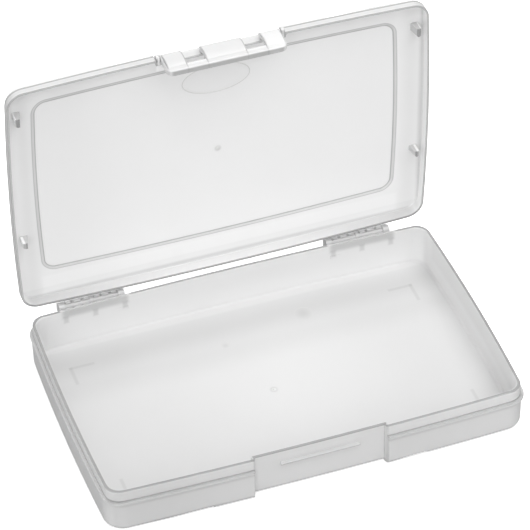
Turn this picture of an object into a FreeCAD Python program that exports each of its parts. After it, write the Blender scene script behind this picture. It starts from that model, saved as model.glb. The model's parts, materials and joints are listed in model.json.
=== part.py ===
# Moulded accessory box: a shallow tray, a lid on two snap-on hinges and a separate snap latch.
#
# Frame: the origin is on the table under the middle of the tray, +X runs along the hinges, -Y is the
# front with the latch, and +Z is up. Lengths are in millimetres. Every piece is drawn closed, then the
# lid and its latch are turned together to the open rest pose.
import FreeCAD, Part
import math
import os

V = FreeCAD.Vector
X_AXIS = V(1, 0, 0)

# ---- plan of the box, measured on the outer face of the tray's rim ----
box_length = 201.2
box_width = 126.9
long_bow = 1.9              # how far the middle of a long side stands out
short_bow = 1.6
corner_radius = 7.0
base_corner_radius = 9.0    # the tray's corners below the ledge, and inside

# ---- tray ----
rim_height = 23.4           # above the table
foot_height = 0.5
rim_wall = 1.25
floor_wall = 1.4
band_height = 5.7           # the thin upper rim that the lid's skirt goes over
ledge_height = 1.7
ledge_reach = 1.7           # how far the ledge stands out from the rim
ledge_slope = 0.4           # chamfer under the ledge
ledge_edge = 0.3            # chamfer on the ledge
rim_edge = 0.25             # chamfer on the rim
body_reach = 1.25           # how far the wall under the ledge stands out from the rim
tray_draft = 0.2
bottom_radius = 2.0
bottom_bend = 2.6           # height of the wall's foot that holds the outer radius
floor_radius = 1.6
floor_bend = 2.4            # height of the wall's foot that holds the inner radius

# ---- feet under the corners of the floor ----
foot_arm = 12.5
foot_width = 1.6
foot_inset = 13.0           # from the rim's outer face to the foot's outer edge, along X
foot_inset_y = 17.0         # the same along Y

# ---- latch recess, shared by the tray and the lid ----
recess_width = 63.2
recess_depth = 2.0
recess_flare = 0.9          # each side wall slopes outwards by this much

# ---- catch ridge in the tray's recess ----
ridge_width = 38.4
ridge_height = 1.3
ridge_reach = 1.1
ridge_drop = 1.1            # from the lid skirt's edge down to the ridge
ridge_nose = 0.45           # flat front of the ridge

# ---- lid ----
skirt_clearance = 0.4       # between the tray's rim and the lid's skirt
skirt_wall = 1.05
skirt_gap = 0.3             # between the ledge and the edge of the closed skirt
top_clearance = 0.15        # between the tray's rim and the lid's inner face
lid_wall = 1.25
edge_radius = 2.6           # outer edge of the lid's top
edge_line = 0.25            # set-back above the line round the skirt
edge_line_drop = 2.8        # from the top down to that line
inner_edge = 0.5            # chamfer between the lid's top and skirt, inside

# ---- raised field in the lid's top ----
field_rise = 0.5
field_slope = 1.8
field_side = 14.3           # from the skirt's outer face to the field
field_front = 12.2
field_rear = 17.3
field_corner = 6.0
field_bow = 1.3

# ---- locating tabs inside the lid ----
tab_root = 3.6              # thickness where the tab leaves the lid
tab_tip = 2.0               # thickness at the tip
tab_depth = 6.3
tab_lead = 1.0              # lead-in at the tip
tab_clearance = 0.9         # from the tray's inner wall
tab_front = 16.2            # from the skirt's front face to the middle of the front tabs
tab_front_width = 4.0
tab_rear = 39.5             # from the skirt's rear face to the middle of the rear tabs
tab_rear_width = 2.6

# ---- hinges ----
hinge_spacing = 136.2       # between the middles of the two hinges
claw_length = 11.2          # of one claw block, along the pin
claw_side_gap = 0.6
middle_lug_width = 1.8
lug_width = 3.1
lug_radius = 2.1            # round top of a lug, about the pin
middle_lug_radius = 1.7
pin_radius = 1.2
pin_clearance = 0.08
pin_reach = 6.0             # from the rear face of the rim, at a hinge, to the pin's axis
pin_drop = 4.2              # from the top of the rim down to the pin's axis
shelf_drop = 2.6            # from the pin's axis down to the shelf
shelf_thickness = 1.4
shelf_root = 1.8            # height of the shelf where it leaves the wall
gusset_height = 4.8         # from the shelf down to the foot of a gusset
stop_gap = 0.15             # left between the open claws and the stop rail
stop_rise = 0.4             # of the rail's top above the pin's axis
stop_thickness = 1.2
claw_radius = 2.2
claw_slot = 1.5
slot_pitch = 4.8
claw_mouth = 2.1            # width of the mouth that snaps over the pin
mouth_direction = 225       # degrees: forwards and down
arm_thickness = 1.4
open_angle = 88.8

# ---- latch ----
latch_width = 58.0
latch_wall = 1.3
latch_depth = 3.0
latch_top_drop = 3.9        # from the lid's top down to the top of the latch
latch_end_height = 6.7      # of the free end above the table
latch_corner = 3.5
latch_edge = 0.7
barrel_radius = 1.5
barrel_gap = 0.25
pad_middle = 19.4
notch_width = 9.3
notch_depth = 10.6
pad_bulge = 1.0
pad_margin = 1.2            # from the pad's lower end to the foot of the notch
hook_nose = 0.5             # flat tip of the hook
hook_root = 2.0             # height of the hook where it leaves the plate
hook_bite = 0.65            # how far the hook reaches behind the ridge
hook_gap = 0.2
stub_radius = 0.75
stub_clearance = 0.08
stub_length = 1.0
ear_gap = 0.35
ear_thickness = 1.6
ear_radius = 1.9

overshoot = 1.0             # how far a cutting block reaches past the face it cuts

# ---- levels and places that follow from the sizes above ----
underside = foot_height
floor_top = underside + floor_wall
ledge_top = rim_height - band_height
ledge_bottom = ledge_top - ledge_height
skirt_bottom = ledge_top + skirt_gap
lid_inner = rim_height + top_clearance
lid_top = lid_inner + lid_wall
skirt_reach = skirt_clearance + skirt_wall
ridge_top = skirt_bottom - ridge_drop
ridge_bottom = ridge_top - ridge_height
latch_top = lid_top - latch_top_drop
half_length = box_length / 2
half_width = box_width / 2
claw_offset = middle_lug_width / 2 + claw_side_gap + claw_length / 2
lug_offset = claw_offset + claw_length / 2 + claw_side_gap + lug_width / 2
hinge_sides = (-hinge_spacing / 2, hinge_spacing / 2)


class Plan:
    """A rounded rectangle with bowed sides, whose offsets are all exactly parallel."""

    def __init__(self, x_half, y_half, y_bow, x_bow, corner, y_middle=0.0):
        self.long_radius = (x_half ** 2 + y_bow ** 2) / (2 * y_bow)
        self.short_radius = (y_half ** 2 + x_bow ** 2) / (2 * x_bow)
        self.long_centre = self.long_radius - y_half - y_bow
        self.short_centre = self.short_radius - x_half - x_bow
        self.corner = corner
        self.y_middle = y_middle
        self.corner_x, self.corner_y = self.corner_centre()

    def corner_centre(self):
        """Centre of the corner arc that touches the right and the rear side."""
        reach_long = self.long_radius - self.corner
        reach_short = self.short_radius - self.corner
        gap = math.hypot(self.long_centre, self.short_centre)
        along = (reach_short ** 2 - reach_long ** 2 + gap ** 2) / (2 * gap)
        across = math.sqrt(reach_short ** 2 - along ** 2)
        ux, uy = self.short_centre / gap, -self.long_centre / gap
        return -self.short_centre + along * ux - across * uy, along * uy + across * ux

    def depth_at(self, x, offset):
        """Distance from the middle line to the long side at x."""
        return math.sqrt((self.long_radius + offset) ** 2 - x ** 2) - self.long_centre

    def length_at(self, y, offset):
        """Distance from the middle line to the short side at y."""
        return math.sqrt((self.short_radius + offset) ** 2 - y ** 2) - self.short_centre

    def wire(self, offset, z):
        """The outline at one offset and level: two long sides, two short sides, four corners."""
        to_long = math.atan2(self.corner_y + self.long_centre, self.corner_x)
        to_short = math.atan2(self.corner_y, self.corner_x + self.short_centre)
        corner = self.corner + offset
        long_arc = self.long_radius + offset
        short_arc = self.short_radius + offset

        def on(cx, cy, radius, angle):
            return V(cx + radius * math.cos(angle), self.y_middle + cy + radius * math.sin(angle), z)

        def arc(cx, cy, radius, start, end):
            middle = (start + end) / 2
            return Part.Arc(on(cx, cy, radius, start), on(cx, cy, radius, middle),
                            on(cx, cy, radius, end)).toShape()

        half = math.pi
        x, y = self.corner_x, self.corner_y
        edges = [
            arc(-self.short_centre, 0, short_arc, -to_short, to_short),
            arc(x, y, corner, to_short, to_long),
            arc(0, -self.long_centre, long_arc, to_long, half - to_long),
            arc(-x, y, corner, half - to_long, half - to_short),
            arc(self.short_centre, 0, short_arc, half - to_short, half + to_short),
            arc(-x, -y, corner, half + to_short, half + to_long),
            arc(0, self.long_centre, long_arc, half + to_long, 2 * half - to_long),
            arc(x, -y, corner, 2 * half - to_long, 2 * half - to_short),
        ]
        return Part.Wire(edges)

    def prism(self, offset, z0, z1):
        return Part.Face(self.wire(offset, z0)).extrude(V(0, 0, z1 - z0))


plan = Plan(half_length, half_width, long_bow, short_bow, corner_radius)
base_plan = Plan(half_length, half_width, long_bow, short_bow, base_corner_radius)

pin_y = half_width + long_bow + pin_reach - long_bow * (hinge_spacing / box_length) ** 2
pin_z = rim_height - pin_drop
shelf_top = pin_z - shelf_drop
recess_face = plan.depth_at(0, skirt_reach - recess_depth)
pivot_y = -(recess_face + barrel_gap + barrel_radius)
pivot_z = latch_top - barrel_radius
latch_face = pivot_y - barrel_radius
notch_foot = latch_top - notch_depth


def edges_at_level(shape, z):
    """The edges of a shape that lie flat at one level."""
    found = []
    for edge in shape.Edges:
        box = edge.BoundBox
        if abs(box.ZMin - z) < 1e-4 and abs(box.ZMax - z) < 1e-4:
            found.append(edge)
    return found


def yz_prism(points, x0, x1):
    """Extrude an outline given as (y, z) points, where a triple of points makes an arc."""
    edges = []
    last = None
    first = None
    for item in points:
        if isinstance(item[0], tuple):
            a, b, c = [V(x0, y, z) for y, z in item]
            if last is not None and last.distanceToPoint(a) > 1e-7:
                edges.append(Part.LineSegment(last, a).toShape())
            edges.append(Part.Arc(a, b, c).toShape())
            first = first or a
            last = c
            continue
        p = V(x0, item[0], item[1])
        if last is not None:
            edges.append(Part.LineSegment(last, p).toShape())
        first = first or p
        last = p
    edges.append(Part.LineSegment(last, first).toShape())
    return Part.Face(Part.Wire(edges)).extrude(V(x1 - x0, 0, 0))


def x_cylinder(radius, x0, x1, y, z):
    return Part.makeCylinder(radius, x1 - x0, V(x0, y, z), X_AXIS)


def recess_wedge(widen, z0, z1):
    """The block over the latch recess, open to the front, with sloping side walls."""
    foot = recess_width / 2 + widen
    mouth = foot + recess_flare
    inner = plan.depth_at(0, -2 * recess_depth - 2 * rim_wall)
    foot_y = plan.depth_at(0, -recess_depth)
    outer_y = plan.depth_at(0, ledge_reach)
    front = outer_y + recess_depth
    far = mouth + recess_flare * (front - outer_y) / recess_depth
    corners = [(-foot, -inner), (-foot, -foot_y), (-far, -front), (far, -front), (foot, -foot_y),
               (foot, -inner)]
    outline = Part.makePolygon([V(x, y, z0) for x, y in corners + corners[:1]])
    return Part.Face(outline).extrude(V(0, 0, z1 - z0))


def largest(shape):
    """The one solid of a boolean's result, without its compound."""
    return max(shape.Solids, key=lambda solid: solid.Volume)


# ---------------------------------------------------------------- tray


def drafted(reach, foot, bend, radius, top):
    """A block with a rounded foot, whose sides lean out by the draft above the foot's bend."""
    start = foot + bend
    block = base_plan.prism(reach - tray_draft, foot, start)
    block = block.makeFillet(radius, edges_at_level(block, foot))
    outlines = [base_plan.wire(reach - tray_draft, start), base_plan.wire(reach, top)]
    return block.fuse(Part.makeLoft(outlines, True, True))


def tray_outer():
    """Outside of the tray: drafted wall with a rounded bottom, ledge, and the thinner rim above."""
    body = drafted(body_reach, underside, bottom_bend, bottom_radius, ledge_top - ledge_height / 2)
    ledge = plan.prism(ledge_reach, ledge_bottom, ledge_top)
    ledge = ledge.makeChamfer(ledge_slope, edges_at_level(ledge, ledge_bottom))
    ledge = ledge.makeChamfer(ledge_edge, edges_at_level(ledge, ledge_top))
    band = plan.prism(0, ledge_bottom, rim_height)
    band = band.makeChamfer(rim_edge, edges_at_level(band, rim_height))
    return body.fuse([ledge, band])


def recess_body():
    """What is left of the tray's outside behind the latch recess."""
    return drafted(-recess_depth, underside, bottom_bend, bottom_radius, rim_height)


def tray_cavity():
    """Inside of the tray, with the step that follows the latch recess."""
    cavity = drafted(-rim_wall, floor_top, floor_bend, floor_radius, rim_height + overshoot)
    step = recess_wedge(rim_wall, floor_top - overshoot, rim_height + 2 * overshoot)
    behind = plan.prism(-recess_depth - rim_wall, floor_top - 2 * overshoot, rim_height + 3 * overshoot)
    return cavity.cut(step.cut(behind))


def catch_ridge():
    """The ridge that the latch snaps under, with a sloping top to lead the hook in."""
    face = -plan.depth_at(0, -recess_depth)
    root = face + rim_wall / 2
    tip = face - ridge_reach
    outline = [(root, ridge_top), (face, ridge_top), (tip, ridge_bottom + ridge_nose), (tip, ridge_bottom),
               (root, ridge_bottom)]
    return yz_prism(outline, -ridge_width / 2, ridge_width / 2)


def feet():
    """Four L-shaped feet, one under each corner of the floor."""
    x = half_length - foot_inset
    y = half_width - foot_inset_y
    corners = [(x, y), (x - foot_arm, y), (x - foot_arm, y - foot_width), (x - foot_width, y - foot_width),
               (x - foot_width, y - foot_arm), (x, y - foot_arm)]
    top = underside + floor_wall / 2
    found = []
    for side in (1, -1):
        for end in (1, -1):
            points = [V(side * px, end * py, 0) for px, py in corners + corners[:1]]
            found.append(Part.Face(Part.makePolygon(points)).extrude(V(0, 0, top)))
    return found


def lug(x, width, radius):
    """One lug of a hinge, rounded about the pin, with a gusset below the shelf."""
    x0, x1 = x - width / 2, x + width / 2
    root = plan.depth_at(max(abs(x0), abs(x1)), 0) - rim_wall / 2
    front = pin_y - radius
    rear = pin_y + radius
    outline = [
        (root, shelf_top), (front, shelf_top),
        ((front, pin_z), (pin_y, pin_z + radius), (rear, pin_z)),
        (rear, shelf_top - shelf_thickness), (root, shelf_top - gusset_height),
    ]
    return yz_prism(outline, x0, x1)


def hinge_base(x):
    """Shelf, stop rail, three lugs and the pin of one hinge."""
    ends = lug_offset + lug_width / 2
    root = plan.depth_at(abs(x) + ends, 0) - rim_wall / 2
    rail = pin_y + claw_radius + stop_gap
    rear = rail + stop_thickness
    under = shelf_top - shelf_thickness
    shelf = yz_prism([(root, shelf_top - shelf_root), (rail, under), (rear, under),
                      (rear, pin_z + stop_rise), (rail, pin_z + stop_rise), (rail, shelf_top),
                      (root, shelf_top)], x - ends, x + ends)
    pin = x_cylinder(pin_radius, x - lug_offset, x + lug_offset, pin_y, pin_z)
    outer = [lug(x + side * lug_offset, lug_width, lug_radius) for side in (-1, 1)]
    return [shelf, pin, lug(x, middle_lug_width, middle_lug_radius)] + outer


def tray():
    outer = tray_outer()
    wedge = recess_wedge(0, underside - overshoot, rim_height + overshoot)
    outer = outer.cut(wedge.cut(recess_body()))
    shell = outer.cut(tray_cavity())
    extras = [catch_ridge()] + feet()
    for x in hinge_sides:
        extras += hinge_base(x)
    return largest(shell.fuse(extras))


# ---------------------------------------------------------------- lid


def field_plan(grow):
    """Outline of the raised field in the lid's top."""
    x_half = plan.length_at(0, skirt_reach) - field_side - field_bow + grow
    front = plan.depth_at(0, skirt_reach) - field_front + grow
    rear = plan.depth_at(0, skirt_reach) - field_rear + grow
    bow = long_bow * (x_half / half_length) ** 2
    y_half = (front + rear) / 2 - bow
    return Plan(x_half, y_half, bow, field_bow, field_corner + grow, (rear - front) / 2)


def field_block(foot, top):
    """The raised field as a drafted block between two levels."""
    wide = field_plan(field_slope / 2)
    narrow = field_plan(-field_slope / 2)
    return Part.makeLoft([wide.wire(0, foot), narrow.wire(0, top)], True, True)


def lid_shell():
    """Top, skirt and latch recess, before the claws, tabs and ears."""
    line = lid_top - edge_line_drop
    upper = plan.prism(skirt_reach - edge_line, skirt_bottom + skirt_wall, lid_top)
    upper = upper.makeFillet(edge_radius, edges_at_level(upper, lid_top))
    skirt = plan.prism(skirt_reach, skirt_bottom, line)
    outer = upper.fuse([skirt, field_block(lid_top - lid_wall / 2, lid_top + field_rise)])

    wedge = recess_wedge(-skirt_reach, skirt_bottom - overshoot, lid_top + overshoot)
    behind = plan.prism(skirt_reach - recess_depth, skirt_bottom - 2 * overshoot, lid_top)
    behind = behind.makeFillet(edge_radius, edges_at_level(behind, lid_top))
    outer = outer.cut(wedge.cut(behind))

    cavity = plan.prism(skirt_clearance, skirt_bottom - overshoot, lid_inner)
    cavity = cavity.makeChamfer(inner_edge, edges_at_level(cavity, lid_inner))
    step = recess_wedge(-skirt_clearance, skirt_bottom - 2 * overshoot, lid_top + overshoot)
    within = plan.prism(skirt_clearance - recess_depth, skirt_bottom - 3 * overshoot,
                        lid_top + 2 * overshoot)
    cavity = cavity.cut(step.cut(within))
    cavity = cavity.fuse(field_block(lid_inner - lid_wall / 4, lid_inner + field_rise))
    return outer.cut(cavity)


def tab(y, width, side):
    """One tab: its inner face slopes to a thinner tip, whose outer edge has a lead-in."""
    reach = max(abs(y - width / 2), abs(y + width / 2))
    outer = plan.length_at(reach, -rim_wall - tray_draft) - tab_clearance
    root = lid_inner + lid_wall / 2
    tip = lid_inner - tab_depth
    section = [(outer - tab_root, root), (outer, root), (outer, tip + tab_lead),
               (outer - tab_lead, tip), (outer - tab_tip, tip)]
    points = [V(side * x, y - width / 2, z) for x, z in section + section[:1]]
    return Part.Face(Part.makePolygon(points)).extrude(V(0, width, 0))


def locating_tabs():
    """Four tabs that stand inside the tray's short walls when the lid is shut."""
    front = tab_front - plan.depth_at(half_length, skirt_reach)
    rear = plan.depth_at(half_length, skirt_reach) - tab_rear
    found = []
    for side in (1, -1):
        found += [tab(front, tab_front_width, side), tab(rear, tab_rear_width, side)]
    return found


def claw_block(x):
    """The claws between two lugs: an arm from the skirt, rings that snap over the pin, and slots."""
    x0, x1 = x - claw_length / 2, x + claw_length / 2
    root = plan.depth_at(max(abs(x0), abs(x1)), skirt_reach) - skirt_wall / 2
    top = pin_z + claw_radius
    arm = Part.makeBox(claw_length, pin_y - root, arm_thickness, V(x0, root, top - arm_thickness))
    ring = x_cylinder(claw_radius, x0, x1, pin_y, pin_z)
    block = arm.fuse(ring)
    bore = x_cylinder(pin_radius + pin_clearance, x0 - overshoot, x1 + overshoot, pin_y, pin_z)
    mouth = Part.makeBox(claw_length + 2 * overshoot, 2 * claw_radius, claw_mouth,
                         V(x0 - overshoot, 0, -claw_mouth / 2))
    mouth.rotate(V(0, 0, 0), X_AXIS, mouth_direction)
    mouth.translate(V(0, pin_y, pin_z))
    block = block.cut(bore).cut(mouth)
    slot_start = pin_y - claw_radius - claw_slot / 2
    for side in (-1, 1):
        left = x + side * slot_pitch / 2 - claw_slot / 2
        block = block.cut(Part.makeBox(claw_slot, 3 * claw_radius, 4 * claw_radius,
                                       V(left, slot_start, pin_z - 2 * claw_radius)))
    return block


def claws():
    found = []
    for x in hinge_sides:
        found += [claw_block(x - claw_offset), claw_block(x + claw_offset)]
    return found


def ears():
    """The two ears at the ends of the latch recess, which carry the latch's stubs."""
    found = []
    for side in (-1, 1):
        inner = side * (latch_width / 2 + ear_gap)
        outer = inner + side * ear_thickness
        x0, x1 = min(inner, outer), max(inner, outer)
        back = -plan.depth_at(abs(inner), skirt_reach - recess_depth) + skirt_wall / 2
        disc = x_cylinder(ear_radius, x0, x1, pivot_y, pivot_z)
        web = Part.makeBox(x1 - x0, back - pivot_y, 2 * ear_radius, V(x0, pivot_y, pivot_z - ear_radius))
        found += [disc, web]
    return found


def stub_holes():
    """A blind hole in each ear, open towards the latch."""
    found = []
    for side in (-1, 1):
        mouth = side * latch_width / 2
        bottom = side * (latch_width / 2 + ear_gap + stub_length)
        found.append(x_cylinder(stub_radius + stub_clearance, *sorted((mouth, bottom)), pivot_y, pivot_z))
    return found


def lid():
    whole = lid_shell().fuse(locating_tabs() + claws() + ears())
    return largest(whole.cut(stub_holes()))


# ---------------------------------------------------------------- latch


def latch_blank():
    """Plate with its side flanges and turned lower lip, rounded at the free end."""
    half = latch_width / 2
    z0, z1 = latch_end_height, pivot_z

    def outline(inset, y):
        r = latch_corner - inset
        q = r * (1 - math.sqrt(0.5))
        x, low = half - inset, z0 + inset
        return Part.Wire([
            Part.LineSegment(V(-x, y, z1), V(-x, y, low + r)).toShape(),
            Part.Arc(V(-x, y, low + r), V(-x + q, y, low + q), V(-x + r, y, low)).toShape(),
            Part.LineSegment(V(-x + r, y, low), V(x - r, y, low)).toShape(),
            Part.Arc(V(x - r, y, low), V(x - q, y, low + q), V(x, y, low + r)).toShape(),
            Part.LineSegment(V(x, y, low + r), V(x, y, z1)).toShape(),
            Part.LineSegment(V(x, y, z1), V(-x, y, z1)).toShape(),
        ])

    plate = Part.Face(outline(0, latch_face)).extrude(V(0, latch_depth, 0))
    front = []
    for edge in plate.Edges:
        box = edge.BoundBox
        flat = abs(box.YMin - latch_face) < 1e-4 and abs(box.YMax - latch_face) < 1e-4
        if flat and box.ZMin < z1 - 1e-3:
            front.append(edge)
    plate = plate.makeChamfer(latch_edge, front)
    pocket = Part.Face(outline(latch_wall, latch_face + latch_wall)).extrude(V(0, latch_depth, 0))
    return plate.cut(pocket)


def pad(x0, x1):
    """One crowned pad, with the rounded barrel at its top end."""
    low = notch_foot - pad_margin
    middle = (low + pivot_z) / 2
    inside = latch_face + latch_wall / 2
    bulge = yz_prism([(inside, pivot_z), (latch_face, pivot_z),
                      ((latch_face, pivot_z), (latch_face - pad_bulge, middle), (latch_face, low)),
                      (inside, low)], x0, x1)
    return [bulge, x_cylinder(barrel_radius, x0, x1, pivot_y, pivot_z)]


def pads():
    """A wide pad in the middle and one at each side, with an open notch between them."""
    middle = pad_middle / 2
    side = middle + notch_width
    end = latch_width / 2 - latch_edge
    found = []
    for x0, x1 in ((-end, -side), (-middle, middle), (side, end)):
        found += pad(x0, x1)
    return found


def notches():
    found = []
    height = latch_top - notch_foot + overshoot
    for side in (-1, 1):
        x0, x1 = sorted((side * pad_middle / 2, side * (pad_middle / 2 + notch_width)))
        found.append(Part.makeBox(x1 - x0, 4 * latch_depth, height,
                                  V(x0, latch_face - 2 * latch_depth, notch_foot)))
    return found


def hook():
    """The hook behind the middle pad that snaps under the tray's ridge."""
    ridge_tip = -plan.depth_at(0, -recess_depth) - ridge_reach
    tip = ridge_tip + hook_bite
    inside = latch_face + latch_wall / 2
    top = ridge_bottom - hook_gap
    outline = [(inside, top), (tip, top), (tip, top - hook_nose), (inside, top - hook_root)]
    reach = pad_middle / 2 - latch_wall / 2
    return yz_prism(outline, -reach, reach)


def stubs():
    found = []
    for side in (-1, 1):
        inner = side * (latch_width / 2 - latch_wall)
        outer = side * (latch_width / 2 + ear_gap + stub_length - stub_clearance)
        found.append(x_cylinder(stub_radius, *sorted((inner, outer)), pivot_y, pivot_z))
        plate = side * latch_width / 2
        found.append(x_cylinder(barrel_radius, *sorted((inner, plate)), pivot_y, pivot_z))
    return found


def latch():
    plate = latch_blank().cut(notches())
    return largest(plate.fuse(pads() + stubs() + [hook()]))


# ---------------------------------------------------------------- whole box


def opened(shape):
    """Turn a closed piece about the hinge pins to the open rest pose."""
    turned = shape.copy()
    turned.rotate(V(0, pin_y, pin_z), X_AXIS, -open_angle)
    return turned


def main():
    os.makedirs("parts", exist_ok=True)
    nodes = {"tray": tray(), "lid": opened(lid()), "latch": opened(latch())}
    for name, shape in nodes.items():
        clean = shape.removeSplitter()
        print(name, clean.ShapeType, clean.isValid(), len(clean.Solids), round(clean.Volume, 1),
              len(clean.Faces))
        clean.exportStep("parts/" + name + ".step")
    print("pin", round(pin_y, 3), round(pin_z, 3), "pivot", round(pivot_y, 3), round(pivot_z, 3))


main()
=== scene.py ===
# %% [markdown]
# # A translucent accessory box, dressed in Blender
#
# The box is a shallow tray, a lid on two snap hinges and a white snap latch. Its solids come from a CAD
# program and are loaded as a fixed frame: every object is in metres, the tray stands on z = 0, +X runs
# along the hinges and -Y is the front. This notebook gives the solids their finish, adds the small marks
# that a moulding tool leaves, and sets up the light and the camera.

# %% Load the frame
import bpy
import json
import math
import numpy as np
from mathutils import Matrix, Vector


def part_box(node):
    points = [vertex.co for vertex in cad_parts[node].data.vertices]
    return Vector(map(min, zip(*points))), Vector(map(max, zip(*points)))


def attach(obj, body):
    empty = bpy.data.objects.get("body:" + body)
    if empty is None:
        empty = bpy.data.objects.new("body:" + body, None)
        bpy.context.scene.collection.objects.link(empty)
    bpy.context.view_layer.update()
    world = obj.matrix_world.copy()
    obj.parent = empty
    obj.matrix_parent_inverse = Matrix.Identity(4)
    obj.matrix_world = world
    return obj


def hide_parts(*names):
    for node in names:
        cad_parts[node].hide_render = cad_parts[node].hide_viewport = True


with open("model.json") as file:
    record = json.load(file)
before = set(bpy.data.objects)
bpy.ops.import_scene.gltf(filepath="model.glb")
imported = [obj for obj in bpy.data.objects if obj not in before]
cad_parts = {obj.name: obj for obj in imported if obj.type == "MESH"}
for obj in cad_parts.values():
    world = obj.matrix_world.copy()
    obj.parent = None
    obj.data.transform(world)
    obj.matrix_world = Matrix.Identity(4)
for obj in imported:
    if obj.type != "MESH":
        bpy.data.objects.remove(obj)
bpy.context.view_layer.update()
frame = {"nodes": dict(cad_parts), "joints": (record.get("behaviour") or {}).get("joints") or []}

scene = bpy.context.scene
for name in sorted(frame["nodes"]):
    low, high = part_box(name)
    print(name, "spans", [round(1000 * (b - a), 1) for a, b in zip(low, high)], "mm")

# %% [markdown]
# ## The hinge axes
#
# The lid and the latch are stored in their open pose. Patterns are easier to write for a closed lid, so
# we read the hinge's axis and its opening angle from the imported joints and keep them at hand.

# %% Read the joints
joints = {joint["name"]: joint for joint in frame["joints"]}
pin = Vector(joints["lid_hinge"]["pos_m"])
open_angle = math.radians(joints["lid_hinge"]["range_deg"][1])
closing = Matrix.Rotation(open_angle, 3, "X")
opening = closing.transposed()
print("hinge pin at", [round(1000 * c, 2) for c in pin], "mm, open", round(math.degrees(open_angle), 1))


def opened(points):
    """Turn rows of closed-lid points (x, y, z) back by the opening angle about the hinge pin."""
    turn = np.array(opening)
    return (points - np.array(pin)) @ turn.T + np.array(pin)


# %% [markdown]
# ## The camera
#
# A long lens from about 1.5 m looks down on the box from its front left, a little tilted. The camera's
# axes are built from three angles: how far it looks to the right, how far down, and its roll.

# %% Camera
camera_place = Vector((-0.362963, -1.071612, 1.055393))
turn_right = math.radians(18.5519)
look_down = math.radians(40.8172)
roll = math.radians(-1.2396)

forward = Vector((math.sin(turn_right) * math.cos(look_down),
                  math.cos(turn_right) * math.cos(look_down), -math.sin(look_down)))
level = forward.cross(Vector((0, 0, 1))).normalized()
right = level * math.cos(roll) + level.cross(forward) * math.sin(roll)
top = right.cross(forward)
lens = bpy.data.cameras.new("view")
lens.lens = 221.77
lens.sensor_width = 36
lens.clip_end = 20
camera = bpy.data.objects.new("view", lens)
axes = Matrix((right, top, -forward)).transposed()
camera.matrix_world = Matrix.Translation(camera_place) @ axes.to_4x4()
scene.collection.objects.link(camera)
scene.camera = camera
print("camera is", round(camera_place.length, 2), "m from the origin")

# %% [markdown]
# ## Smooth copies of the solids
#
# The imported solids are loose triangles. On the real box the corners and fillets shine evenly, so each
# solid gets a copy whose doubled corners are merged and whose soft edges share their normals. Edges that
# turn by more than 30 degrees stay sharp, and so does the low slope round the lid's field. A Weighted
# Normal modifier lets the big flat faces rule, which keeps them flat right up to their fillets.

# %% Copy, merge and smooth
SHARP = math.radians(30)


def smooth_copy(node, body, crease_levels=()):
    """A merged copy of a solid that stands for it. Closed-box levels in crease_levels stay sharp."""
    source = frame["nodes"][node]
    mesh = bpy.data.meshes.new(node + "_smooth")
    points = np.empty(3 * len(source.data.vertices), np.float32)
    source.data.vertices.foreach_get("co", points)
    corners = np.empty(len(source.data.loops), np.int32)
    source.data.loops.foreach_get("vertex_index", corners)
    keys = np.round(points.reshape(-1, 3) * 1e6).astype(np.int64)
    unique, first, inverse = np.unique(keys, axis=0, return_index=True, return_inverse=True)
    triangles = inverse.reshape(-1)[corners].reshape(-1, 3)
    whole = np.all(triangles != np.roll(triangles, 1, axis=1), axis=1)
    mesh.from_pydata(points.reshape(-1, 3)[first], [], triangles[whole])
    mesh.update()
    mesh.shade_smooth()
    mesh.set_sharp_from_angle(angle=SHARP)
    ends = np.empty(2 * len(mesh.edges), np.int32)
    mesh.edges.foreach_get("vertices", ends)
    flat = np.array(closing) @ (points.reshape(-1, 3)[first] - np.array(pin)).T
    level = (flat[2] + pin.z)[ends.reshape(-1, 2)]
    sharp = mesh.attributes["sharp_edge"] if "sharp_edge" in mesh.attributes else mesh.attributes.new(
        "sharp_edge", "BOOLEAN", "EDGE")
    marks = np.empty(len(mesh.edges), bool)
    sharp.data.foreach_get("value", marks)
    for height in crease_levels:
        marks |= np.all(np.abs(level - height) < 2e-5, axis=1)
    sharp.data.foreach_set("value", marks)
    piece = bpy.data.objects.new(node + "_shell", mesh)
    scene.collection.objects.link(piece)
    weighted = piece.modifiers.new("weighted", "WEIGHTED_NORMAL")
    weighted.keep_sharp = True
    weighted.weight = 50
    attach(piece, body)
    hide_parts(node)
    print(piece.name, len(mesh.vertices), "corners,", len(mesh.polygons), "triangles,",
          int(marks.sum()), "sharp edges")
    return piece


tray = smooth_copy("tray", "tray_body")
lid = smooth_copy("lid", "lid_body", (0.02355, 0.02405, 0.0248, 0.0253))
latch = smooth_copy("latch", "latch_body")

# %% [markdown]
# ## Building materials from nodes
#
# Every material below is a small graph. The helper `Graph` adds nodes and links by name, so a cell can
# say what feeds what in one line. A number in a call is set on the socket, and an output is linked.

# %% A helper for node graphs


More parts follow.
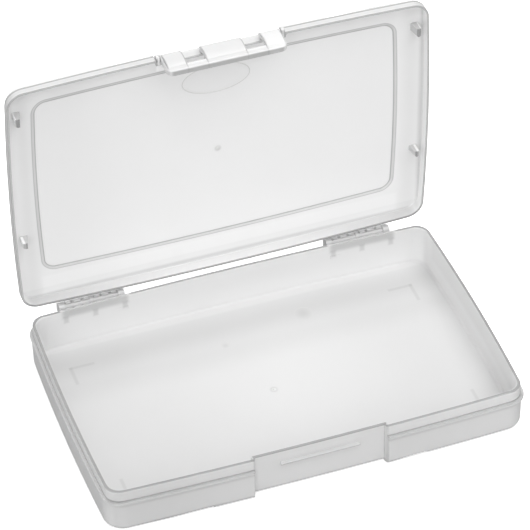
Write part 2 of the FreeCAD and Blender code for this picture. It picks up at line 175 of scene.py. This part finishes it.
class Graph:
    """Adds nodes to one node tree. Inputs may be numbers, colours or other nodes' outputs."""

    def __init__(self, tree):
        self.tree = tree

    def feed(self, socket, value):
        if isinstance(value, bpy.types.NodeSocket):
            self.tree.links.new(value, socket)
        else:
            socket.default_value = value

    def add(self, kind, inputs=(), out=0, **settings):
        node = self.tree.nodes.new("ShaderNode" + kind)
        for key, value in settings.items():
            setattr(node, key, value)
        pairs = inputs.items() if isinstance(inputs, dict) else enumerate(inputs)
        for key, value in pairs:
            self.feed(node.inputs[key], value)
        return node.outputs[out]

    def math(self, operation, *values):
        return self.add("Math", values, operation=operation)

    def mix(self, factor, first, second, blend="MIX"):
        return self.add("Mix", {0: factor, 6: first, 7: second}, out=2, data_type="RGBA", blend_type=blend)

    def ramp(self, value, low, high, to_low=0.0, to_high=1.0):
        return self.add("MapRange", (value, low, high, to_low, to_high), interpolation_type="SMOOTHSTEP")

    def group(self, tree, inputs=None, out=0):
        node = self.tree.nodes.new("ShaderNodeGroup")
        node.node_tree = tree
        for key, value in (inputs or {}).items():
            self.feed(node.inputs[key], value)
        return node.outputs[out]


def new_group(name, inputs, outputs):
    """An empty shader group. Inputs are (name, kind, default) rows and outputs are (name, kind) rows."""
    tree = bpy.data.node_groups.new(name, "ShaderNodeTree")
    for label, kind, default in inputs:
        socket = tree.interface.new_socket(label, in_out="INPUT", socket_type="NodeSocket" + kind)
        socket.default_value = default
    for label, kind in outputs:
        tree.interface.new_socket(label, in_out="OUTPUT", socket_type="NodeSocket" + kind)
    graph = Graph(tree)
    source = tree.nodes.new("NodeGroupInput")
    result = tree.nodes.new("NodeGroupOutput")
    return graph, source.outputs, result.inputs


print("helpers ready")

# %% [markdown]
# ## Edge lines
#
# Light that enters a milky moulding runs along the wall and leaves at its edges, so each edge and crease
# of such a box is drawn as a thin darker line. A Bevel node gives the normal that a rounded edge would
# have. Where it differs from the true normal we are close to an edge, and the difference is our mask.

# %% Group: edge_line
graph, given, result = new_group("edge_line", [("Width", "Float", 0.0005), ("Strength", "Float", 1.0)],
                                 [("Mask", "Float")])
rounded = graph.add("Bevel", {"Radius": given["Width"]}, samples=6)
plain = graph.add("NewGeometry", out="True Normal")
facing = graph.add("VectorMath", (rounded, plain), out="Value", operation="DOT_PRODUCT")
bend = graph.math("SUBTRACT", 1.0, facing)
strong = graph.math("MULTIPLY", bend, given["Strength"])
graph.feed(result["Mask"], graph.add("Clamp", (strong, 0.0, 1.0)))
edge_line = graph.tree
print("group", edge_line.name)

# %% [markdown]
# ## Distance from an outline
#
# Many lines on this box run round it at a fixed distance from its rim. The rim is a rounded rectangle
# with bowed sides. The distance from a long side is the distance from its arc's centre less its radius,
# the same holds for a short side, and a rounded maximum of the two turns the corner.

# %% Group: outline_distance
graph, given, result = new_group(
    "outline_distance",
    [("Vector", "Vector", (0, 0, 0)), ("Long Radius", "Float", 1.0), ("Long Centre", "Float", 1.0),
     ("Short Radius", "Float", 1.0), ("Short Centre", "Float", 1.0), ("Corner", "Float", 0.01)],
    [("Distance", "Float")])
parts = graph.tree.nodes.new("ShaderNodeSeparateXYZ")
graph.feed(parts.inputs[0], given["Vector"])
across = graph.math("ABSOLUTE", parts.outputs["X"])
along = graph.math("ABSOLUTE", parts.outputs["Y"])


def hypotenuse(graph, first, second):
    squares = graph.math("MULTIPLY", second, second)
    return graph.math("SQRT", graph.math("MULTIPLY_ADD", first, first, squares))


long_arm = graph.math("ADD", along, given["Long Centre"])
from_long = graph.math("SUBTRACT", hypotenuse(graph, across, long_arm), given["Long Radius"])
short_arm = graph.math("ADD", across, given["Short Centre"])
from_short = graph.math("SUBTRACT", hypotenuse(graph, short_arm, along), given["Short Radius"])
first = graph.math("ADD", from_long, given["Corner"])
second = graph.math("ADD", from_short, given["Corner"])
inside = graph.math("MINIMUM", graph.math("MAXIMUM", first, second), 0.0)
outside = hypotenuse(graph, graph.math("MAXIMUM", first, 0.0), graph.math("MAXIMUM", second, 0.0))
total = graph.math("ADD", inside, outside)
graph.feed(result["Distance"], graph.math("SUBTRACT", total, given["Corner"]))
outline_distance = graph.tree
print("group", outline_distance.name)


def distance_from(graph, place, half_x, half_y, bow_x, bow_y, corner):
    """Distance from an outline with these half sizes, whose sides stand out by the bows, in metres."""
    long_radius = (half_x ** 2 + bow_y ** 2) / (2 * bow_y)
    short_radius = (half_y ** 2 + bow_x ** 2) / (2 * bow_x)
    return graph.group(outline_distance, {
        "Vector": place, "Corner": corner,
        "Long Radius": long_radius, "Long Centre": long_radius - half_y - bow_y,
        "Short Radius": short_radius, "Short Centre": short_radius - half_x - bow_x})


# %% [markdown]
# ## Drawn lines, denser places and painted shade
#
# Two small groups darken a tone: one along a line, where some distance has a given value, and one inside
# a soft-edged box, where a rib or a foot behind the wall makes the milky plastic denser. Most lines and
# many boxes are painted shade: on faces turned squarely to the lamps, in recesses, under ledges and in
# corners. The class `Shading` strings them together and takes millimetres. A negative depth lightens
# instead: painted light, mostly where the box lies in shadow.

# %% Group: line_shade
graph, given, result = new_group(
    "line_shade",
    [("Tone", "Float", 1.0), ("Value", "Float", 0.0), ("At", "Float", 0.0), ("Width", "Float", 0.001),
     ("Depth", "Float", 0.2), ("Gate", "Float", 1.0)], [("Tone", "Float")])
away = graph.math("ABSOLUTE", graph.math("SUBTRACT", given["Value"], given["At"]))
mask = graph.ramp(graph.math("DIVIDE", away, given["Width"]), 0.0, 1.0, 1.0, 0.0)
weight = graph.math("MULTIPLY", graph.math("MULTIPLY", mask, given["Gate"]), given["Depth"])
graph.feed(result["Tone"], graph.math("MULTIPLY", given["Tone"], graph.math("SUBTRACT", 1.0, weight)))
line_shade = graph.tree

# %% Group: box_mask
graph, given, result = new_group(
    "box_mask", [("Vector", "Vector", (0, 0, 0)), ("Centre", "Vector", (0, 0, 0)),
                 ("Half", "Vector", (1, 1, 1)), ("Soft", "Float", 0.001)], [("Mask", "Float")])
offset = graph.add("VectorMath", (given["Vector"], given["Centre"]), operation="SUBTRACT")
offset = graph.add("VectorMath", (offset,), operation="ABSOLUTE")
offset = graph.add("VectorMath", (offset, given["Half"]), operation="SUBTRACT")
parts = graph.tree.nodes.new("ShaderNodeSeparateXYZ")
graph.feed(parts.inputs[0], offset)
reach = graph.math("MAXIMUM", parts.outputs["X"], parts.outputs["Y"])
reach = graph.math("MAXIMUM", reach, parts.outputs["Z"])
graph.feed(result["Mask"], graph.ramp(graph.math("DIVIDE", reach, given["Soft"]), -0.5, 0.5, 1.0, 0.0))
box_mask = graph.tree
print("groups", line_shade.name, box_mask.name)


class Shading:
    """A tone that starts at 1 and is changed step by step, and a weight for the edge lines. Places are
    in millimetres, and a negative depth lightens."""

    def __init__(self, graph, place):
        self.graph = graph
        self.place = place
        self.tone = 1.0
        self.edges = 1.0
        parts = graph.tree.nodes.new("ShaderNodeSeparateXYZ")
        graph.feed(parts.inputs[0], place)
        self.x, self.y, self.z = parts.outputs

    def box(self, low, high, soft):
        """Mask of a soft-edged box between two corners."""
        centre = [(a + b) / 2000 for a, b in zip(low, high)]
        half = [(b - a) / 2000 for a, b in zip(low, high)]
        return self.graph.group(box_mask, {"Vector": self.place, "Centre": centre, "Half": half,
                                           "Soft": soft / 1000})

    def line(self, value, at, width, depth, gate=1.0):
        """Darken by depth where value is at, fading out over width."""
        self.tone = self.graph.group(line_shade, {"Tone": self.tone, "Value": value, "At": at / 1000,
                                                  "Width": width / 1000, "Depth": depth, "Gate": gate})

    def density_and_shade(self, low, high, soft, depth):
        """Darken by depth inside a soft-edged box: denser places and painted shade, painted light if
        negative.
        """
        mask = self.box(low, high, soft)
        weight = self.graph.math("MULTIPLY_ADD", mask, -depth, 1.0)
        self.tone = self.graph.math("MULTIPLY", self.tone, weight)

    def calm(self, low, high, soft, depth):
        """Weaken the edge lines by depth inside a soft-edged box."""
        weight = self.graph.math("MULTIPLY_ADD", self.box(low, high, soft), -depth, 1.0)
        self.edges = self.graph.math("MULTIPLY", self.edges, weight)

    def spot(self, x, y, radius, depth, gate=1.0):
        """Darken by depth in a soft round spot."""
        place = self.graph.add("CombineXYZ", (self.x, self.y, 0.0))
        away = self.graph.add("VectorMath", (place, (x / 1000, y / 1000, 0)), out="Value",
                              operation="DISTANCE")
        self.line(away, 0.0, radius, depth, gate)


# %% [markdown]
# ## Flow and handling marks
#
# A moulded wall is never perfectly even. Three noises cover it: a broad, very soft cloud in its density,
# fine hair scratches stretched along one direction, and a fine waviness of the surface that breaks up
# the reflections.

# %% Group: moulded_skin
graph, given, result = new_group("moulded_skin", [("Vector", "Vector", (0, 0, 0)), ("Cloud", "Float", 0.5)],
                                 [("Density", "Float"), ("Roughness", "Float"), ("Height", "Float")])
cloud = graph.add("TexNoise", {"Vector": given["Vector"], "Scale": 14.0, "Detail": 2.0})
cloud = graph.math("MULTIPLY_ADD", graph.math("SUBTRACT", cloud, 0.5), given["Cloud"], 1.0)
graph.feed(result["Density"], cloud)
stretched = graph.add("Mapping", {"Vector": given["Vector"], "Rotation": (0.3, 0.2, 0.5),
                                  "Scale": (60, 900, 900)})
scratch = graph.add("TexNoise", {"Vector": stretched, "Scale": 1.0, "Detail": 3.0, "Roughness": 0.6})
scratch = graph.ramp(scratch, 0.60, 0.72)
graph.feed(result["Roughness"], graph.math("MULTIPLY_ADD", scratch, 0.10, 0.30))
wave = graph.add("TexNoise", {"Vector": given["Vector"], "Scale": 60.0, "Detail": 3.0})
graph.feed(result["Height"], graph.math("MULTIPLY_ADD", scratch, -0.15, wave))
moulded_skin = graph.tree
print("group", moulded_skin.name)

# %% [markdown]
# ## Natural polypropylene
#
# The tray and the lid are moulded in undyed polypropylene: milky, so light scatters inside the wall and
# soaks through it, with a smooth skin that gives soft reflections. The Principled shader's subsurface
# scattering does the first and its roughness the second. The base colour is one tone, varied by a soft
# cloud, by the lines of each piece and by the mask of its edges. The walls aren't see-through here, so
# what would show through them, such as ribs and feet, is drawn as a shade.

# %% Material: milky_plastic


def as_stored(graph):
    """Object coordinates, as the mesh is stored."""
    return graph.add("TexCoord", out="Object")


def as_closed(graph):
    """Object coordinates turned about the hinge pin, so that they read as on the closed box."""
    shift = pin - closing @ pin
    return graph.add("Mapping", {"Vector": graph.add("TexCoord", out="Object"), "Location": shift,
                                 "Rotation": (open_angle, 0, 0)})


def milky_plastic(name, tone, coordinates, draw, scatter, edge_width, edge_depth):
    """Moulded plastic of one tone. draw(shading) adds a piece's own lines, denser places, painted light
    and painted shade.
    """
    material = bpy.data.materials.new(name)
    material.use_nodes = True
    graph = Graph(material.node_tree)
    shader = material.node_tree.nodes["Principled BSDF"]
    place = coordinates(graph)
    skin = graph.tree.nodes.new("ShaderNodeGroup")
    skin.node_tree = moulded_skin
    graph.feed(skin.inputs["Vector"], place)
    graph.feed(skin.inputs["Cloud"], 0.05)
    shading = Shading(graph, place)
    draw(shading)
    line = graph.group(edge_line, {"Width": edge_width / 1000, "Strength": 3.0})
    line = graph.math("MULTIPLY", line, shading.edges)
    weight = graph.math("MULTIPLY_ADD", line, -edge_depth, 1.0)
    value = graph.math("MULTIPLY", graph.math("MULTIPLY", shading.tone, weight), skin.outputs["Density"])
    value = graph.math("MULTIPLY", value, tone)
    graph.feed(shader.inputs["Base Color"], graph.add("CombineColor", (value, value, value)))
    graph.feed(shader.inputs["Roughness"], skin.outputs["Roughness"])
    bump = graph.add("Bump", {"Strength": 0.12, "Distance": 0.0002, "Height": skin.outputs["Height"]})
    graph.feed(shader.inputs["Normal"], bump)
    shader.inputs["IOR"].default_value = 1.49
    shader.inputs["Subsurface Weight"].default_value = 1.0
    shader.inputs["Subsurface Radius"].default_value = (1.0, 1.0, 1.0)
    shader.inputs["Subsurface Scale"].default_value = scatter / 1000
    return material


def wear(piece, material):
    """Give a piece one material."""
    slots = piece.data.materials
    slots.clear()
    slots.append(material)
    print(piece.name, "wears", material.name)


# The rim's outline in metres: half length, half width, bow of a short side, bow of a long side, corner.
RIM_OUTLINE = (0.1006, 0.06345, 0.0016, 0.0019, 0.007)

# %% [markdown]
# ### The tray
#
# The rim is darkest at its inner top edge, and the ledge and the latch recess have lines of their own; all
# of these are painted shade. Painted light lifts the shadowed lugs of the hinges. The hinge shelves and
# their gussets show through the rear wall and the four L-shaped feet through the floor.
# The shade of a shelf lies about 4 mm above the solid one. Part of that is the slanted view through the
# wall, and the rest follows the real box, whose shelves seem to sit a little higher than the solids'.
# Broad shades across the floor and up the walls stand for light that soaks through a box of thin walls.
# They were tuned for the view from the camera above: the rear wall is lightest at its foot, and a darker
# band crosses the floor in front of it.

# %% Lines of the tray
RIM_TOP, LEDGE_TOP, FLOOR_TOP = 23.4, 17.7, 1.9
RECESS_HALF = 32.3
HINGE_X, HINGE_REACH = 68.1, 20
SHELF_HALF = 16.4
LUG_X = 14.85
FOOT_X, FOOT_Y, FOOT_ARM, FOOT_WALL = 87.6, 46.45, 12.5, 1.6
GATE = (-0.8, -1.6)
PIN_MARKS = ((-12.3, 35.6, 1.8), (30.7, 44.3, 4.5))


def draw_rim(shading, rim):
    """Painted shade on the rim's inner top edge, faint behind the hinges, on the ledge, strongest at the
    front, and under the ledge.
    """
    graph = shading.graph
    gate = graph.ramp(rim, -0.0016, -0.0012)
    for hinge in (-HINGE_X, HINGE_X):
        behind = shading.box((hinge - 17.5, 55, 20), (hinge + 17.5, 70, 28), 2.0)
        gate = graph.math("MULTIPLY", gate, graph.math("MULTIPLY_ADD", behind, -0.85, 1.0))
    # Painted shade on the narrow faces that look up at the lamp: the rim's top and the ledge.
    shading.line(shading.z, RIM_TOP, 0.45, 0.52, gate)
    ledge = graph.ramp(rim, -0.0001, 0.0001)
    front = graph.ramp(shading.y, -0.058, -0.062, 0.5, 1.0)
    shading.line(shading.z, LEDGE_TOP, 0.9, 0.40, graph.math("MULTIPLY", ledge, front))
    shading.line(shading.z, 15.7, 1.5, 0.10, graph.ramp(rim, 0.0002, 0.0008))


def draw_recess(shading):
    """Painted shade on the two sides of the latch recess, its top edge and the ridge that the latch snaps
    under.
    """
    graph = shading.graph
    side = graph.math("ABSOLUTE", shading.x)
    shading.line(side, RECESS_HALF, 0.9, 0.15, graph.ramp(shading.y, -0.058, -0.060))
    shading.density_and_shade((-32.4, -63.6, 23.0), (32.4, -61.8, 23.8), 0.4, 0.50)
    shading.density_and_shade((-26, -66, 15.6), (26, -63.4, 18.0), 0.5, 0.30)


def draw_tray_hinge(shading, hinge):
    """One hinge: its shelf and gussets as seen through the rear wall, and painted light and shade on the
    lugs outside it.
    """
    shading.density_and_shade((hinge - SHELF_HALF, 55, 19.1), (hinge + SHELF_HALF, 66.6, 27), 3.0, 0.25)
    for lug in (-LUG_X, 0, LUG_X):
        shading.density_and_shade((hinge + lug - 1.2, 55, 15.7), (hinge + lug + 1.2, 65.2, 19.7), 1.6, 0.18)
    near, far = hinge - HINGE_REACH, hinge + HINGE_REACH
    # Painted light on the shadowed lugs, a little painted shade above them, and weaker edge lines.
    shading.calm((near, 66, 10), (far, 78, 25), 1.0, 0.75)
    shading.density_and_shade((near, 65.6, 10), (far, 78, 18.5), 2.0, -0.28)
    shading.density_and_shade((near, 65.6, 18.5), (far, 78, 25), 2.0, 0.03)
    shading.density_and_shade((near, 71.6, 17), (far, 78, 25), 1.0, -0.22)


def draw_feet(shading):
    """Two arms of each L-shaped foot, which show through the floor."""
    for foot_x in (-1, 1):
        for foot_y in (-1, 1):
            for arm_x, arm_y in ((FOOT_ARM, FOOT_WALL), (FOOT_WALL, FOOT_ARM)):
                near, far = sorted((foot_x * (FOOT_X - arm_x), foot_x * FOOT_X))
                front, rear = sorted((foot_y * (FOOT_Y - arm_y), foot_y * FOOT_Y))
                shading.density_and_shade((near, front, 1), (far, rear, 3), 0.9, 0.10)


def draw_tray(shading):
    """All lines and shades of the tray."""
    graph = shading.graph
    draw_rim(shading, distance_from(graph, shading.place, *RIM_OUTLINE))
    draw_recess(shading)
    for hinge in (-HINGE_X, HINGE_X):
        draw_tray_hinge(shading, hinge)
    # Painted light makes the rear wall lighter towards its foot, and a painted shade dims the soft fold
    # that joins it to the floor.
    rear = graph.ramp(shading.y, 0.0575, 0.0595)
    shading.line(shading.z, 3.5, 21.0, -0.09, rear)
    shading.line(shading.z, 2.6, 1.3, 0.05, rear)
    # Painted shade on the right wall above its middle.
    shading.density_and_shade((99, -50, 12), (104, 50, 24), 6.0, 0.09)
    # Painted shade in bands across the rear of the floor.
    floor_gate = graph.ramp(shading.z, 0.0045, 0.0025)
    shading.line(shading.y, 47.0, 12.0, 0.11, floor_gate)
    shading.line(shading.y, 56.0, 12.0, 0.05, floor_gate)
    shading.line(shading.y, 32.0, 16.0, 0.06, floor_gate)
    # Painted shade and light on the outside of the front wall: darker to the left, lighter to the right.
    outer_front = graph.ramp(shading.y, -0.0615, -0.0630)
    shading.line(shading.x, -80.0, 55.0, 0.07, outer_front)
    shading.line(shading.x, 85.0, 55.0, -0.05, outer_front)
    # The rest of the floor: painted shade at its rear left corner, its edge, painted light in its middle,
    # feet and marks.
    shading.spot(-68, 46, 26, 0.03, floor_gate)
    shading.line(shading.z, FLOOR_TOP, 1.2, 0.08)
    shading.spot(12, 5, 75, -0.06, floor_gate)
    draw_feet(shading)
    shading.spot(*GATE, 2.6, 0.34, floor_gate)
    for x, y, radius in PIN_MARKS:
        shading.spot(x, y, radius + 0.6, 0.10, floor_gate)


wear(tray, milky_plastic("tray_plastic", 0.715, as_stored, draw_tray, 1.5, 0.6, 0.35))

# %% [markdown]
# ### The lid
#
# Three fine lines of painted shade frame the raised field, and others run round the outside of the skirt
# and along its edge. Painted shade darkens the skirt's lower part, but not at the notch that the latch sits
# in, where painted light lifts the shadowed panel. Painted shade darkens the panel softly towards its
# sides, and the four tabs inside the skirt are darker than the panel. Painted shade also dims the lid's
# outer face, and painted light lifts the shadowed hinge claws.

# %% Lines of the lid
FIELD_MIDDLE = (-0.8, -2.55)
FIELD_HALF = (88.05, 50.59)
FIELD_FACE = 24.05


def draw_field(shading, top):
    """Three lines of painted shade round the raised field: broad at its foot, fine at the two edges of its
    slope.
    """
    graph = shading.graph
    middle = (FIELD_MIDDLE[0] / 1000, FIELD_MIDDLE[1] / 1000, 0)
    centred = graph.add("VectorMath", (shading.place, middle), operation="SUBTRACT")
    field = distance_from(graph, centred, FIELD_HALF[0] / 1000, FIELD_HALF[1] / 1000, 0.0013, 0.00146,
                          0.006)
    shading.line(field, 0.0, 1.3, 0.20, top)
    shading.line(field, 0.75, 0.45, 0.30, top)
    shading.line(field, -0.7, 0.45, 0.46, top)


def draw_skirt(shading):
    """Painted shade on the lower skirt, round the outside and on the top face, and painted light at the
    notch for the latch.
    """
    graph = shading.graph
    rim = distance_from(graph, shading.place, *RIM_OUTLINE)
    clear = graph.ramp(shading.y, 0.0672, 0.0668)
    outside = graph.math("MULTIPLY", graph.ramp(rim, 0.0009, 0.0012), clear)
    shading.density_and_shade((-110, -70, 10), (110, 66.8, 17.9), 0.8, 0.42)
    shading.density_and_shade((-30.5, -70, 10), (30.5, -58, 17.9), 0.8, -0.70)
    shading.density_and_shade((-29.5, -62.8, 22), (29.5, -56.0, 24), 1.5, -0.22)
    shading.density_and_shade((-30.5, -66, 18.3), (30.5, -63.3, 23.0), 0.8, 0.16)
    shading.line(shading.z, 17.9, 0.6, 0.3, clear)
    shading.line(shading.z, 19.5, 4.0, 0.22, outside)
    shading.line(shading.z, 21.4, 0.8, 0.50, outside)
    shading.line(shading.z, 24.3, 1.2, 0.32, graph.ramp(rim, 0.0002, 0.0004))
    # Painted shade on the lid's outer face, which looks up at the lamp when the lid is closed.
    shading.density_and_shade((-110, -70, 24.5), (110, 70, 27), 0.5, 0.16)


def draw_panel(shading, top):
    """Painted shade on the inside of the panel towards its right and left sides and on its rear skirt, and
    a faint painted light on the panel in front of that skirt.
    """
    graph = shading.graph
    inside = graph.ramp(shading.z, 0.0238, 0.0236)
    panel = graph.math("MULTIPLY", inside, graph.ramp(shading.z, 0.0228, 0.0232))
    shading.line(shading.x, 101.7, 2.4, 0.20, panel)
    shading.line(shading.x, 96.0, 8.0, 0.06, panel)
    shading.line(shading.x, -95.0, 7.0, 0.08, panel)
    shading.line(shading.x, -75.0, 45.0, 0.04, top)
    shading.line(shading.y, 64.0, 2.0, 0.18, inside)
    shading.line(shading.y, 56.0, 34.0, -0.025, top)
    shading.density_and_shade((-106, 60.0, 17.0), (106, 66.2, 23.2), 3.0, 0.14)
    shading.density_and_shade((-90, 52.5, 22), (90, 62.5, 24), 3.0, -0.05)


def draw_lid(shading):
    """All lines and shades of the lid, on the closed box."""
    top = shading.graph.ramp(shading.z, 0.0228, 0.0232)
    draw_field(shading, top)
    draw_skirt(shading)
    draw_panel(shading, top)
    shading.spot(*GATE, 2.4, 0.34, top)
    for near, far in ((-98.3, -92.7), (92.7, 98.3)):
        shading.density_and_shade((near, -56, 16), (far, 56, 23.3), 0.5, 0.34)
    # Painted light on the shadowed claws of each hinge, whose edge lines are weakened.
    for hinge in (-HINGE_X, HINGE_X):
        near, far = hinge - HINGE_REACH, hinge + HINGE_REACH
        shading.density_and_shade((near, 66.4, 10), (far, 78, 25), 0.6, -0.18)
        shading.calm((near, 66.4, 10), (far, 78, 25), 1.0, 0.75)


wear(lid, milky_plastic("lid_plastic", 0.825, as_closed, draw_lid, 1.5, 0.6, 0.4))

# %% [markdown]
# ### The latch
#
# The latch is moulded in a denser white plastic, so less light soaks through it. Fine lines follow the
# edges of its three pads and the foot of its plate, and painted light lifts the shadowed notches beside
# the middle pad and the right outer pad.

# %% Lines of the latch


def draw_latch(shading):
    """All lines and shades of the latch, on the closed box."""
    graph = shading.graph
    behind = graph.ramp(shading.y, -0.0679, -0.0673)
    shading.line(shading.z, 6.7, 0.6, 0.32, behind)
    across = graph.math("ABSOLUTE", shading.x)
    pads = graph.ramp(shading.y, -0.0682, -0.0679, 1.0, 0.3)
    for edge in (9.5, 19.2, 28.2):
        shading.line(across, edge, 0.55, 0.36, pads)
    # Painted light in the shadowed notches and on the right outer pad.
    for near, far in ((-19.0, -9.7), (9.7, 19.0)):
        shading.density_and_shade((near, -68.0, 9), (far, -60, 22), 0.8, -0.22)
    shading.density_and_shade((20, -72, 4), (31, -60, 24), 1.0, -0.08)


wear(latch, milky_plastic("latch_plastic", 0.69, as_closed, draw_latch, 0.6, 0.5, 0.3))
print("dressed", sorted(frame["nodes"]))

# %% [markdown]
# ## Marks of the moulding tool
#
# Where the plastic ran into the mould, a small pip is left in the middle of the tray's floor and of the
# lid. Each is a surface of revolution: a profile of radius against height, carried round an axis. The
# first and last points lie on the axis, so the surface is closed.

# %% Pips


def new_piece(name, points, faces, body, material):
    """One piece from rows of points and faces, riding on a body, with its place in its mesh."""
    mesh = bpy.data.meshes.new(name)
    mesh.from_pydata(points, [], faces)
    mesh.update()
    mesh.shade_smooth()
    mesh.set_sharp_from_angle(angle=SHARP)
    mesh.materials.append(material)
    piece = bpy.data.objects.new(name, mesh)
    scene.collection.objects.link(piece)
    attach(piece, body)
    print(name, len(mesh.vertices), "corners", len(mesh.polygons), "faces")
    return piece


def grid_faces(rows, columns, wrap_rows=False):
    """Faces of a grid whose columns close on themselves, and whose rows may."""
    row = np.arange(rows if wrap_rows else rows - 1)[:, None]
    column = np.arange(columns)[None, :]
    after_row, after_column = (row + 1) % rows, (column + 1) % columns
    corners = [row * columns + column, row * columns + after_column,
               after_row * columns + after_column, after_row * columns + column]
    return np.stack(np.broadcast_arrays(*corners), axis=-1).reshape(-1, 4)


def turned(profile, centre, up, count=48):
    """Points (r cos a, r sin a, up h) about centre for each profile point (r, h), all in millimetres.
    The two ends, where r is 0, become single points joined by fans."""
    angle = np.linspace(0, 2 * np.pi, count, endpoint=False)
    radius, height = np.array(profile[1:-1], float).T
    ring = np.stack([radius[:, None] * np.cos(angle), radius[:, None] * np.sin(angle),
                     np.broadcast_to(up * height[:, None], (len(radius), count))], axis=-1)
    poles = [(0, 0, up * profile[0][1]), (0, 0, up * profile[-1][1])]
    points = np.concatenate([ring.reshape(-1, 3), poles]) + centre
    base = len(radius) * count
    here, after = np.arange(count), (np.arange(count) + 1) % count
    low = np.stack([np.full(count, base), after, here], axis=1)
    high = np.stack([np.full(count, base + 1), base - count + here, base - count + after], axis=1)
    faces = grid_faces(len(radius), count).tolist() + low.tolist() + high.tolist()
    if up < 0:
        faces = [face[::-1] for face in faces]
    return points / 1000, faces


tray_material = bpy.data.materials["tray_plastic"]
lid_material = bpy.data.materials["lid_plastic"]
pip = [(0, -0.4), (1.2, -0.4), (1.2, 0.02), (1.0, 0.12), (0.75, 0.14), (0.6, 0.10), (0.42, 0.12),
       (0.34, 0.36), (0.2, 0.42), (0, 0.43)]
points, faces = turned(pip, (*GATE, FLOOR_TOP), 1)
new_piece("tray_gate_pip", points, faces, "tray_body", tray_material)
points, faces = turned(pip, (*GATE, FIELD_FACE), -1)
new_piece("lid_gate_pip", opened(points), faces, "lid_body", lid_material)

# %% [markdown]
# ## Hair-fine beads
#
# The pins that push the box out of its mould leave faint rings on the tray's floor, and a raised oval
# lies on the inside of the lid near its front. All are closed tubes: the path is an ellipse, and at each
# point of it a small flat ellipse is drawn across. Half of the tube sits in the wall.

# %% Rings and oval


def bead(centre, half_x, half_y, half_width, half_height, count=160, around=10):
    """Tube along an ellipse: path (a cos t, b sin t), plus w cos s along the path's flat normal and
    h sin s straight up, for all t and s at once, in millimetres."""
    t = np.linspace(0, 2 * np.pi, count, endpoint=False)[:, None]
    s = np.linspace(0, 2 * np.pi, around, endpoint=False)[None, :]
    path_x, path_y = half_x * np.cos(t), half_y * np.sin(t)
    normal_x, normal_y = half_y * np.cos(t), half_x * np.sin(t)
    length = np.hypot(normal_x, normal_y)
    x = path_x + half_width * np.cos(s) * normal_x / length
    y = path_y + half_width * np.cos(s) * normal_y / length
    z = np.broadcast_to(half_height * np.sin(s), x.shape)
    points = np.stack([x, y, z], axis=-1).reshape(-1, 3) + centre
    return points / 1000, grid_faces(count, around, wrap_rows=True)[:, ::-1].tolist()


for number, (x, y, radius) in enumerate(PIN_MARKS, 1):
    points, faces = bead((x, y, FLOOR_TOP), radius, radius, 0.16, 0.05, count=72)
    new_piece("tray_pin_ring_%d" % number, points, faces, "tray_body", tray_material)
points, faces = bead((-0.8, -44.0, FIELD_FACE), 16.5, 8.0, 0.22, 0.10)
new_piece("lid_oval_bead", opened(points), faces, "lid_body", lid_material)

# %% [markdown]
# ## Floor and light
#
# The box stands on a plain floor. Seen by the camera the floor is white and glows a little, so it fills
# the picture evenly and the box has hardly any shadow at its foot. For light on its way to the box it is a
# mid grey, or it would throw so much light into the walls that they lost their shape.

# %% Floor
bpy.ops.mesh.primitive_plane_add(size=6, location=(0, 0, 0))
floor = bpy.context.object
floor.name = "floor"
paper = bpy.data.materials.new("paper")
paper.use_nodes = True
graph = Graph(paper.node_tree)
seen = graph.add("LightPath", out="Is Camera Ray")
shade = graph.mix(seen, (0.35, 0.35, 0.35, 1), (0.95, 0.95, 0.95, 1))
card = paper.node_tree.nodes["Principled BSDF"]
graph.feed(card.inputs["Base Color"], shade)
card.inputs["Roughness"].default_value = 0.9
card.inputs["Emission Color"].default_value = (1, 1, 1, 1)
graph.feed(card.inputs["Emission Strength"], graph.math("MULTIPLY", seen, 0.5))
floor.data.materials.append(paper)
print("floor laid")

# %% [markdown]
# A large soft light hangs above, a little to the right, so the outside of the left wall stays darker than
# the front. Weaker ones stand in front, at the left side and behind, and an even grey world fills the rest.

# %% Lights


def soft_light(name, place, size, power, aim=(0, 0, 0.05)):
    data = bpy.data.lights.new(name, "AREA")
    data.energy = power
    data.size = size
    lamp = bpy.data.objects.new(name, data)
    lamp.location = place
    lamp.rotation_euler = (Vector(aim) - Vector(place)).to_track_quat("-Z", "Y").to_euler()
    scene.collection.objects.link(lamp)
    print(name, "gives", power, "W over", size, "m")


soft_light("key", (0.25, -0.35, 1.5), 1.5, 18.4)
soft_light("front", (-0.6, -1.5, 0.9), 1.2, 12)
soft_light("side", (-1.5, -0.25, 0.55), 1.0, 3.8)
soft_light("rear", (0.35, 1.7, 0.6), 1.4, 5)
world = bpy.data.worlds.new("studio")
scene.world = world
world.use_nodes = True
world.node_tree.nodes["Background"].inputs["Color"].default_value = (1, 1, 1, 1)
world.node_tree.nodes["Background"].inputs["Strength"].default_value = 0.5
scene.view_settings.view_transform = "Standard"
